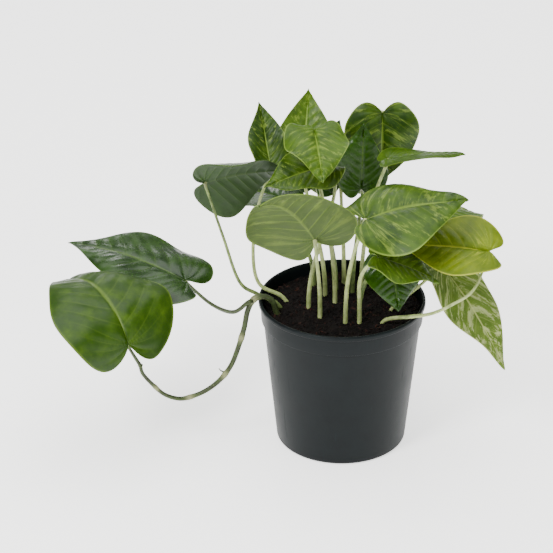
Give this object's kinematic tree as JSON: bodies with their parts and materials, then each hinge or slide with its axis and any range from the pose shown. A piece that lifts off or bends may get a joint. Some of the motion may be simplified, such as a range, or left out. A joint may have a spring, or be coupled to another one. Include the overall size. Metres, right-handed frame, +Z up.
{
  "type": "potted pothos plant",
  "caption": "Small leafy pothos with marbled heart-shaped leaves and one trailing vine, in a round plastic nursery pot.",
  "frame": {"origin": "middle of the pot's underside, on the surface that it stands on", "axes": "+Z up; +X to the right of somebody facing the pot, away from the trailing vine; +Y away from them"},
  "size_m": [0.3232, 0.2145, 0.2485],
  "materials": {
    "pot_plastic": "dark slate green nursery-pot plastic with a soft sheen",
    "potting_mix": "damp dark potting mix with reddish-brown bark flecks",
    "leaf_green": "waxy bright green blade with pale marbling",
    "leaf_deep_green": "glossy deep green blade",
    "leaf_lime": "waxy yellow-green blade with a pale edge",
    "leaf_cream": "pale variegated blade",
    "stalk_green": "smooth pale green stalk",
    "vine_green": "dark green stem with pale sheath streaks"
  },
  "bodies": {
    "root": {"pot": "pot_plastic", "potting_mix": "potting_mix", "vine": "vine_green", "stalk_vine_front": "stalk_green", "leaf_vine_front": "leaf_deep_green", "stalk_vine_back": "stalk_green", "leaf_vine_back": "leaf_deep_green", "stalk_left_low": "stalk_green", "leaf_left_low": "leaf_deep_green", "stalk_left_upright": "stalk_green", "leaf_left_upright": "leaf_green", "stalk_left_front": "stalk_green", "leaf_left_front": "leaf_green", "stalk_crown_point": "stalk_green", "leaf_crown_point": "leaf_green", "stalk_crown_dark": "stalk_green", "leaf_crown_dark": "leaf_deep_green", "stalk_crown_front": "stalk_green", "leaf_crown_front": "leaf_green", "stalk_front_left": "stalk_green", "leaf_front_left": "leaf_green", "stalk_front_right": "stalk_green", "leaf_front_right": "leaf_green", "stalk_front_low": "stalk_green", "leaf_front_low": "leaf_green", "stalk_right_out": "stalk_green", "leaf_right_out": "leaf_lime", "stalk_right_hang": "stalk_green", "leaf_right_hang": "leaf_deep_green", "stalk_over_rim": "stalk_green", "leaf_over_rim": "leaf_cream", "stalk_crown_right": "stalk_green", "leaf_crown_right": "leaf_deep_green", "stalk_crown_shade": "stalk_green", "leaf_crown_shade": "leaf_deep_green", "stalk_crown_back": "stalk_green", "leaf_crown_back": "leaf_green", "stalk_back_middle": "stalk_green", "leaf_back_middle": "leaf_green", "stalk_back_right": "stalk_green", "leaf_back_right": "leaf_green", "stalk_back_left": "stalk_green", "leaf_back_left": "leaf_deep_green", "stalk_back_low": "stalk_green", "leaf_back_low": "leaf_green"}
  },
  "joints": []
}
